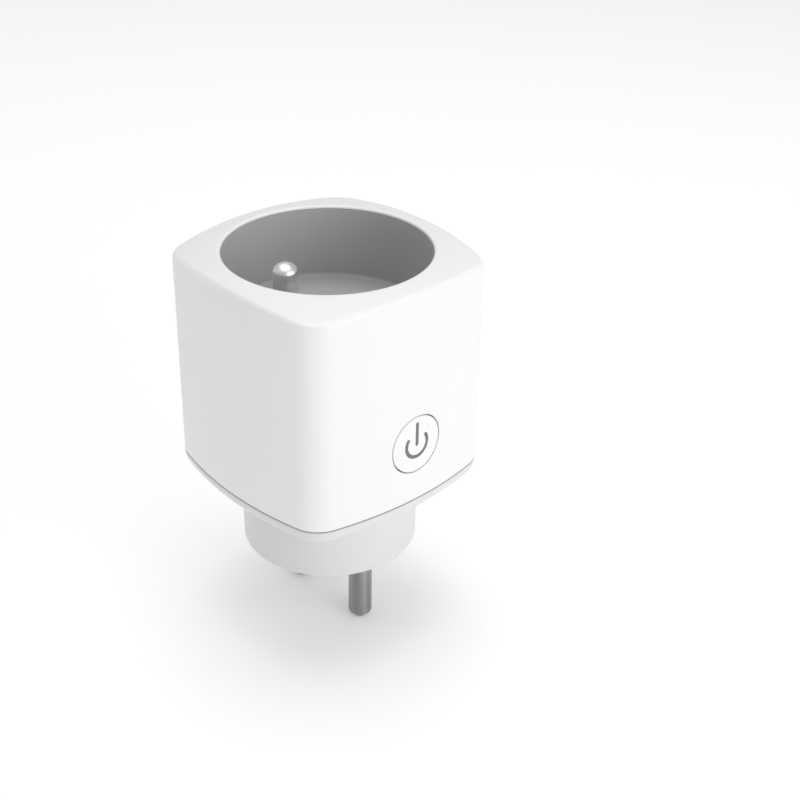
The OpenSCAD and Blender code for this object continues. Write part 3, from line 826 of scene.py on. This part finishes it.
def power_button(bm):
    """The cap: a face that follows the side's bulge, a rounded rim, a flange and a stem."""
    steps = 128
    rim, stem_r = 0.15 * MM, 1.5 * MM
    inner, flange_r = BUTTON_R - 1 * MM, BUTTON_R + 0.9 * MM
    back, stem_y = BUTTON_HIGH.y, COLLAR_BACK_Y - PLAY
    flange_y, face_y = back - 0.6 * MM, -HALF_W + 1.3 * MM
    angles = [math.tau * i / steps for i in range(steps)]

    def ring(radius, depth, curved=True):
        made = []
        for a in angles:
            x, z = BUTTON_X + radius * math.cos(a), BUTTON_Z + radius * math.sin(a)
            made.append(bm.verts.new((x, front_y(x) + INK + depth if curved else depth, z)))
        return made

    rings = [ring(r, 0) for r in spread(0.8 * MM, BUTTON_R - rim, 8)]
    rings += [ring(BUTTON_R - rim * (1 - math.sin(a)), rim * (1 - math.cos(a)))
              for a in spread(0, math.pi / 2, 5)[1:]]
    rings += [ring(BUTTON_R, flange_y, False), ring(flange_r, flange_y, False),
              ring(flange_r, back, False), ring(inner, back, False), ring(inner, face_y, False),
              ring(stem_r, face_y, False), ring(stem_r, stem_y, False)]
    stitch_all(bm, rings)
    close_ring(bm, rings[0], (BUTTON_X, front_y(BUTTON_X) + INK, BUTTON_Z))
    close_ring(bm, rings[-1], (BUTTON_X, stem_y, BUTTON_Z))


def ribbon(bm, middle, across, along):
    """A raised line with rounded ends. along is the direction of travel at each point."""
    sunk, soft = 0.2 * MM, 0.03 * MM
    half = SYMBOL_LINE / 2
    caps = [math.radians(a) for a in (80, 60, 40, 20, 0)]
    stations = [(middle[0] - along[0] * half * math.sin(a), across[0], math.cos(a)) for a in caps]
    stations += [(p, n, 1) for p, n in zip(middle[1:-1], across[1:-1])]
    stations += [(middle[-1] + along[-1] * half * math.sin(a), across[-1], math.cos(a))
                 for a in reversed(caps)]
    rows = []
    for p, n, width in stations:
        edge = half * width
        bevel = min(soft, edge / 2)
        section = [(-edge, sunk), (-edge, INK), (bevel - edge, 0), (edge - bevel, 0), (edge, INK),
                   (edge, sunk)]
        spots = [(p + n * s, depth) for s, depth in section]
        rows.append([bm.verts.new((q.x, front_y(q.x) + depth, q.y)) for q, depth in spots])
    stitch_all(bm, rows)
    bm.faces.new(rows[0])
    bm.faces.new(rows[-1][::-1])


def button_symbol(bm):
    """The power symbol: an open ring and a bar, printed on the cap's curved face."""
    open_half = math.radians(SYMBOL_OPEN_DEG)
    angles = spread(open_half, math.tau - open_half, 72)
    out = [Vector((math.sin(a), math.cos(a))) for a in angles]
    travel = [Vector((math.cos(a), -math.sin(a))) for a in angles]
    ribbon(bm, [BUTTON_AT + d * SYMBOL_R for d in out], out, travel)
    half = SYMBOL_LINE / 2
    bar = [BUTTON_AT + Vector((0, z)) for z in spread(SYMBOL_BAR[0] + half, SYMBOL_BAR[1] - half, 10)]
    ribbon(bm, bar, [Vector((1, 0))] * len(bar), [Vector((0, 1))] * len(bar))


# ------------------------ pieces inside the case


def cover_posts(bm):
    """Inside the cover: collars around the plug pins, screw posts, and pillars under the carrier."""
    collar_r, collar_top = 4.2 * MM, 7.5 * MM
    for y in (-PIN_Y, PIN_Y):
        tube(bm, (0, y, 0), SHANK_R + PLAY, collar_r, BOSS_FLOOR, collar_top, 48)
    flange_top, post_top = BOSS_H + FLANGE, 21.8 * MM
    for x, y in corners(SCREW_AT, SCREW_AT):
        tube(bm, (x, y, 0), SCREW_HOLE_R, POST_R, flange_top, post_top)
    step, peg_r, bevel = BOARD_LOW.z - PLAY, 1.3 * MM, 0.2 * MM
    peg_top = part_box("back_cover")[1].z
    for x, y in corners(14 * MM, 12.8 * MM):
        lathe(bm, [(0, flange_top), (POST_R, flange_top), (POST_R, step), (peg_r, step),
                   (peg_r, peg_top - bevel), (peg_r - bevel, peg_top), (0, peg_top)], (x, y, 0), 32)


def housing_ribs(bm):
    """A diagonal rib from each of the housing's screw posts to its corner."""
    low, high = SEAM_Z + SPIGOT_H + 0.2 * MM, RIM_Z - ROOF
    half_t, reach = 0.5 * MM, 1 * MM
    post_edge = SCREW_AT * math.sqrt(2) + POST_R
    for quarter in range(4):
        start = len(bm.verts)
        rounded_box(bm, (post_edge - FINE, -half_t, low), (post_edge + reach, half_t, high), FINE)
        bm.verts.ensure_lookup_table()
        bmesh.ops.rotate(bm, cent=(0, 0, 0), verts=bm.verts[start:],
                         matrix=Matrix.Rotation(math.pi / 4 + math.pi / 2 * quarter, 3, "Z"))


def relay(bm):
    """A sealed case with a slightly narrower base."""
    block(bm, "relay", (0, 0, 0), (8.4, 17.4, 12.9), 0.5)
    block(bm, "relay", (0.3, 0.3, 12.6), (7.8, 16.8, 1.3), 0.2)


def relay_mark(bm):
    """Recesses in the relay's lower face: an orientation groove and the vent."""
    block(bm, "relay", (0.7, 1.1, -0.3), (7, 0.5, 0.5), 0.05)
    upright(bm, from_node("relay", 6.8, 15.5, 0), 0.6 * MM, -0.5 * MM, 0.3 * MM, 24)


def filter_capacitor(bm):
    """A box with rounded edges on four stand-off feet."""
    block(bm, "filter_capacitor", (0, 0, 0), (7, 13, 12), 0.45)
    for x in (0.4, 5.4):
        for y in (0.4, 11.4):
            block(bm, "filter_capacitor", (x, y, 11.6), (1.2, 1.2, 0.9), 0.1)


def electrolytic_capacitors(bm):
    """Two cans with a rolled groove, a sleeve that folds over the rim and a rubber bung."""
    r, length, groove = 3.1, 9, 1.3
    profile = [(0, 0.25), (r - 1.1, 0.25), (r - 0.9, 0.05), (r - 0.4, 0), (r, 0.35), (r, groove - 0.4),
               (r - 0.3, groove), (r, groove + 0.4), (r, length - 0.4), (r - 0.4, length),
               (r - 0.9, length - 0.05), (r - 1.1, length - 0.25), (0, length - 0.25)]
    for x in (0, 13.4):
        lathe(bm, in_mm(profile), from_node("electrolytic_capacitors", x, r, r), 64, "X")


def varistor(bm):
    """A dipped disc: thick in the middle, with a soft rim."""
    r, t = 4 * MM, 3.2 * MM
    profile = [(0, 0)] + [(r * math.sin(a) ** 0.7, t / 2 * (1 - math.cos(a) ** 0.45))
                          for a in spread(0.25, math.pi / 2 - 0.02, 14)]
    profile += [(a, t - h) for a, h in reversed(profile)]
    low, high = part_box("varistor")
    lathe(bm, profile, (high.x - r, low.y, BOARD_UNDER - r), 64, "Y")


def transformer(bm):
    """The winding, between the two end plates."""
    upright(bm, from_node("transformer", 4, 4, 0), 2.7 * MM, 1.1 * MM, 6.9 * MM)


def transformer_core(bm):
    """The ferrite: two end plates and two outer legs."""
    for z in (0, 6.8):
        block(bm, "transformer", (0, 0, z), (8, 8, 1.2), 0.2)
    for y in (0, 6.8):
        block(bm, "transformer", (0, y, 1.1), (8, 1.2, 5.8), 0.1)


def bridge_rectifier(bm):
    """A moulded body with a parting line."""
    block(bm, "bridge_rectifier", (0.6, 0, 0.1), (3.6, 6.4, 1.15), 0.2)
    block(bm, "bridge_rectifier", (0.6, 0, 1.25), (3.6, 6.4, 1.25), 0.25)


def fuse_resistor(bm):
    """A coated body that bulges over its end caps."""
    r, length = 1.6, 8
    profile = [(0, 0), (r - 0.35, 0), (r - 0.1, 0.2), (r, 0.6), (r, 1.3), (r - 0.2, 1.8),
               (r - 0.2, length - 1.8), (r, length - 1.3), (r, length - 0.6), (r - 0.1, length - 0.2),
               (r - 0.35, length), (0, length)]
    lathe(bm, in_mm(profile), from_node("fuse_resistor", r, 0, 1.85), 48, "Y")


def component_leads(bm):
    """Solder joints on top of the main board, the bridge's feet and the resistor's leads."""
    solder = [(5.6, -7), (5.6, 7), (11.2, -7), (11.2, 7), (-4.4, 0), (0.4, 0), (-10.4, -12.1),
              (3, -12.1), (4.3, 12.4), (9.3, 12.4), (-9.9, 9), (-9.9, 13), (-4.9, 9), (-4.9, 13)]
    for x, y in solder:
        lathe(bm, in_mm([(0, 0), (0.8, 0), (0.55, 0.2), (0.35, 0.6), (0, 0.7)]),
              (x * MM, y * MM, BOARD_TOP), 20)
    for foot_x, riser_x in ((0, 0.4), (4.15, 4.15)):
        for y in (0.6, 5):
            block(bm, "bridge_rectifier", (foot_x, y, 0), (0.65, 0.8, 0.2), 0.05)
            block(bm, "bridge_rectifier", (riser_x, y, 0), (0.25, 0.8, 1.2), 0.05)
    for y in (1, 7):
        sweep(bm, [from_node("fuse_resistor", 1.6, y, z) for z in (0, 1.85)], 0.35 * MM)


def radio_board(bm):
    """The upright board of the radio."""
    block(bm, "radio_board", (0, 0, 0), (0.8, 16, 12), 0.08)


def radio_parts(bm):
    """Small parts on the back of the radio board, and the folded trace of its antenna."""
    for y in spread(2, 10.4, 5):
        for z in (2.85, 7.35):
            block(bm, "radio_board", (0.75, y, z), (0.5, 0.7, 1.3), 0.08)
    folds = 8
    left, right, proud = 12.4, 14.9, 0.78
    for i, z in enumerate(spread(1.85, 9.85, folds)):
        block(bm, "radio_board", (proud, left, z), (0.04, 2.8, 0.3), 0.01)
        if i < folds:
            block(bm, "radio_board", (proud, left if i % 2 else right, z), (0.04, 0.3, 1.3), 0.01)


def radio_shield(bm):
    """A tin can with a soft edge."""
    block(bm, "radio_shield", (0, 0, 0), (2.15, 10.5, 10), 0.25)


def shield_holes(bm):
    """The can's hollow and the vent holes in its face."""
    block(bm, "radio_shield", (0.3, 0.3, 0.3), (2.4, 9.9, 9.4), 0.2)
    for y in (2.5, 5.25, 8):
        for z in (2.45, 4.95, 7.45):
            lathe(bm, in_mm([(0, 0), (0.45, 0), (0.45, 1), (0, 1)]),
                  from_node("radio_shield", -0.3, y, z), 20, "X")


def button_board(bm):
    """The small board behind the button."""
    block(bm, "button_board", (0, 0, 0), (16, 1, 14), 0.1)


def switch_body(bm):
    """A tactile switch: a moulded base, a stamped cover and four rivets."""
    block(bm, "switch_body", (0, 0.4, 0), (6, 2.95, 6), 0.15)
    block(bm, "switch_body", (0.2, 0.1, 0.2), (5.6, 0.4, 5.6), 0.12)
    for x in (0.8, 5.2):
        for z in (0.8, 5.2):
            lathe(bm, in_mm([(0, 0), (0.25, 0), (0.4, 0.15), (0.4, 0.3), (0, 0.3)]),
                  from_node("switch_body", x, 0, z), 20, "Y")


def button_well(bm):
    """The round well that the plunger moves in."""
    r, mouth, end = PLUNGER_R + PLAY, -20 * MM, -17.5 * MM
    lathe(bm, [(0, mouth), (r, mouth), (r, end), (0, end)], (BUTTON_X, 0, BUTTON_Z), 48, "Y")


def switch_plunger(bm):
    """The switch's button, with a soft front edge."""
    low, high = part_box("switch_plunger")
    r, front, back = PLUNGER_R, low.y, high.y
    soft, curve = 0.25 * MM, 0.08 * MM
    lathe(bm, [(0, front), (r - soft, front), (r - curve, front + curve), (r, front + soft),
               (r, back - FINE), (r - FINE, back), (0, back)], (BUTTON_X, 0, BUTTON_Z), 48, "Y")


def status_led(bm):
    """A surface-mount LED: a body and a domed lens."""
    block(bm, "status_led", (0, 0.3, 0), (1.6, 0.4, 0.8), 0.06)
    r, t = 0.35, 0.3
    lens = [(r * math.cos(a), -t * math.sin(a)) for a in spread(0, math.pi / 2, 6)[:-1]]
    lathe(bm, in_mm([(0, 0), *lens, (0, -t)]), from_node("status_led", 0.8, t, 0.4), 24, "Y")


def screw(bm, x, y, head_low, head_r, shank_r, tip):
    """A pan-head screw that points up, with a rolled thread and a point."""
    head_t = 1.2 * MM
    seat = head_low + head_t
    core_r = 0.8 * shank_r
    dome = [(head_r * math.sin(a), head_low + 0.5 * head_t * (1 - math.cos(a)))
            for a in spread(0.5, math.pi / 2, 6)]
    profile = [(0, dome[0][1]), *dome, (head_r, seat - FINE), (head_r - FINE, seat),
               (core_r, seat), (core_r, seat + 1 * MM)]
    pitch = 0.8 * MM
    z = seat + 1.2 * MM
    while z < tip - 2 * pitch:
        profile += [(core_r, z), (shank_r, z + 0.3 * pitch), (shank_r, z + 0.4 * pitch),
                    (core_r, z + 0.7 * pitch)]
        z += pitch
    profile += [(core_r, tip - pitch), (0, tip)]
    lathe(bm, profile, (x, y, 0), 36)


def drive(bm, x, y, head_low, head_r):
    """The cross recess in a screw's head."""
    wide, deep = 0.25 * MM, 0.6 * MM
    for a, b in ((0.65 * head_r, wide), (wide, 0.65 * head_r)):
        rounded_box(bm, (x - a, y - b, head_low - 1 * MM), (x + a, y + b, head_low + deep), 0.05 * MM, 1)


def case_screws(bm):
    """Four screws from the cover's underside into the housing's posts."""
    low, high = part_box("case_screws")
    for x, y in corners(SCREW_AT, SCREW_AT):
        screw(bm, x, y, low.z, SCREW_HEAD_R, 1.1 * MM, high.z)


def case_drives(bm):
    """The cross recesses of the case screws."""
    for x, y in corners(SCREW_AT, SCREW_AT):
        drive(bm, x, y, NODE_AT["case_screws"].z, SCREW_HEAD_R)


def carrier_screws(bm):
    """Two screws that hold the carrier to the cup."""
    low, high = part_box("carrier_screws")
    for y in (-CARRIER_SCREW_Y, CARRIER_SCREW_Y):
        screw(bm, 0, y, low.z, CARRIER_HEAD_R, 0.9 * MM, high.z)


def carrier_drives(bm):
    """The cross recesses of the carrier screws."""
    for y in (-CARRIER_SCREW_Y, CARRIER_SCREW_Y):
        drive(bm, 0, y, NODE_AT["carrier_screws"].z, CARRIER_HEAD_R)


def shutter_spring(bm):
    """A coil along X: closed turns at both ends and open turns between them."""
    wire, coil_r, turns, per_turn = 0.2 * MM, 0.9 * MM, 7, 32
    low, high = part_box("shutter_spring")
    x0, x1 = low.x + wire, high.x - wire
    middle_z = (low.z + high.z) / 2
    points = []
    for i in range(turns * per_turn + 1):
        t = i / (turns * per_turn)
        flat_ends = min(1.0, max(0.0, (t * turns - 0.8) / (turns - 1.6)))
        share = 0.93 * flat_ends + 0.07 * t
        a = math.tau * turns * t
        points.append(Vector((x0 + (x1 - x0) * share, coil_r * math.cos(a),
                              middle_z + coil_r * math.sin(a))))
    sweep(bm, points, wire)


# ------------------------ build

KEPT_NODES = {"shutter": "shutter_grey", "contact_carrier": "carrier_black",
              "live_contact": "brass", "neutral_contact": "brass", "rear_earth_contact": "brass",
              "earth_bar": "brass", "main_board": "board_green"}


def keep_nodes():
    """Gives the CAD nodes that stay in view the same procedural materials."""
    for name, slot in KEPT_NODES.items():
        node = frame["nodes"][name]
        for each in [node, *node.children_recursive]:
            if each.type == "MESH":
                each.data.materials.clear()
                each.data.materials.append(MATERIALS[slot])


def build_outside():
    """The pieces that show when the plug is closed."""
    piece("housing_shell", "white_shell", front_housing, "front_housing")
    piece("cover_shell", "white_shell", back_cover, "back_cover", holes=cover_holes,
          material=COVER_PAINTED_SHADE_WHITE)
    piece("cup_insert", "cup_grey", socket_cup, "socket_cup", holes=cup_holes)
    piece("earth_pin_turned", "nickel", earth_pin, "earth_pin")
    piece("live_pin_turned", "nickel", plug_pin(-PIN_Y), "live_plug_pin", material=PLUG_NICKEL_PAINTED_REFLECTION)
    piece("neutral_pin_turned", "nickel", plug_pin(PIN_Y), "neutral_plug_pin", material=PLUG_NICKEL_PAINTED_REFLECTION)
    piece("button_cap", "white_button", power_button, "power_button", body="power_button")
    piece("power_symbol", "symbol_grey", button_symbol, "button_symbol", body="power_button")


def build_inside():
    """The pieces that show when the case is open."""
    piece("cover_posts", "white_shell", cover_posts, material=COVER_PAINTED_SHADE_WHITE)
    piece("housing_ribs", "white_shell", housing_ribs)
    piece("relay_case", "relay_case", relay, "relay", holes=relay_mark)
    piece("film_capacitor", "film_box", filter_capacitor, "filter_capacitor")
    piece("capacitor_cans", "can_sleeve", electrolytic_capacitors, "electrolytic_capacitors")
    piece("dipped_varistor", "varistor_blue", varistor, "varistor")
    piece("transformer_winding", "winding_tape", transformer, "transformer")
    piece("transformer_ferrite", "chip_black", transformer_core)
    piece("bridge_body", "chip_black", bridge_rectifier, "bridge_rectifier")
    piece("fuse_body", "resistor_body", fuse_resistor, "fuse_resistor")
    piece("leads_and_solder", "tin_plate", component_leads)
    piece("radio_card", "board_green", radio_board, "radio_board")
    piece("radio_card_parts", "tin_plate", radio_parts)
    piece("shield_can", "tin_plate", radio_shield, "radio_shield", holes=shield_holes)
    piece("button_card", "board_green", button_board, "button_board")
    piece("tactile_switch", "chip_black", switch_body, "switch_body", holes=button_well)
    piece("tactile_plunger", "plunger_black", switch_plunger, "switch_plunger", body="switch_plunger")
    piece("led_body", "led_lens", status_led, "status_led")
    piece("case_screw_set", "screw_steel", case_screws, "case_screws", holes=case_drives)
    piece("carrier_screw_set", "screw_steel", carrier_screws, "carrier_screws", holes=carrier_drives)
    coil = piece("shutter_coil", "spring_steel", shutter_spring, "shutter_spring")
    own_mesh(coil)


# ------------------------ stage, light and camera

FLOOR_HALF = 3
FLOOR_GLOW = 0.17
ROOM_LIGHT = 0.46
LIT_POINT = Vector((0, 0, 0.03))
# place, side of the square and watts
SOFT_BOXES = {
    "key": ((-0.05, -0.85, 0.3), 0.5, 2),
    "side": ((0.35, -0.75, 0.35), 0.5, 1.2),
    "top": ((0.05, 0.05, 0.9), 0.6, 3.2),
    "back": ((0.25, 0.5, 0.8), 0.6, 0.6),
    "rim": ((-0.45, 0.75, 0.12), 0.3, 0.5),
}
CAMERA_AT = Vector((-157.8, -190.81, 173.51)) * MM
CAMERA_TURN = math.radians(42.822)
CAMERA_DOWN = math.radians(30.085)
CAMERA_ROLL = math.radians(1.073)
CAMERA_LENS = 65.421


def build_stage():
    """A plain white floor under the pins' tips."""
    bm = bmesh.new()
    bmesh.ops.create_grid(bm, x_segments=1, y_segments=1, size=FLOOR_HALF)
    floor = make_object(bm, "floor")
    floor.location.z = CAD_BOX[0][2]
    made, _, shader = new_material("floor_white")
    shader.inputs["Base Color"].default_value = (0.9, 0.9, 0.9, 1)
    shader.inputs["Roughness"].default_value = 0.8
    shader.inputs["Emission Color"].default_value = (1, 1, 1, 1)
    shader.inputs["Emission Strength"].default_value = FLOOR_GLOW
    floor.data.materials.append(made)


def area_light(name, place, size, watts):
    """A square soft box that looks at the plug."""
    data = bpy.data.lights.new(name, "AREA")
    data.shape = "SQUARE"
    data.size = size
    data.energy = watts
    lamp = bpy.data.objects.new(name, data)
    lamp.location = place
    lamp.rotation_euler = (LIT_POINT - lamp.location).to_track_quat("-Z", "Y").to_euler()
    bpy.context.scene.collection.objects.link(lamp)


def build_light():
    """Soft boxes in a white room: two in front, one above, and two weak ones behind."""
    for name, (place, size, watts) in SOFT_BOXES.items():
        area_light(name, place, size, watts)
    world = bpy.data.worlds.new("studio")
    bpy.context.scene.world = world
    world.use_nodes = True
    background = world.node_tree.nodes["Background"]
    background.inputs["Color"].default_value = (1, 1, 1, 1)
    background.inputs["Strength"].default_value = ROOM_LIGHT


def build_camera():
    """A view from about 30 degrees above, towards the corner beside the button's side."""
    ahead = Vector((math.sin(CAMERA_TURN) * math.cos(CAMERA_DOWN),
                    math.cos(CAMERA_TURN) * math.cos(CAMERA_DOWN), -math.sin(CAMERA_DOWN)))
    data = bpy.data.cameras.new("camera")
    data.sensor_width = 36
    data.lens = CAMERA_LENS
    data.clip_start = 0.01
    camera = bpy.data.objects.new("camera", data)
    camera.location = CAMERA_AT
    roll = Matrix.Rotation(CAMERA_ROLL, 3, "Z")
    camera.rotation_euler = (ahead.to_track_quat("-Z", "Y").to_matrix() @ roll).to_euler()
    bpy.context.scene.collection.objects.link(camera)
    bpy.context.scene.camera = camera


keep_nodes()
build_outside()
build_inside()
build_stage()
build_light()
build_camera()
bpy.context.scene.view_settings.view_transform = "Standard"
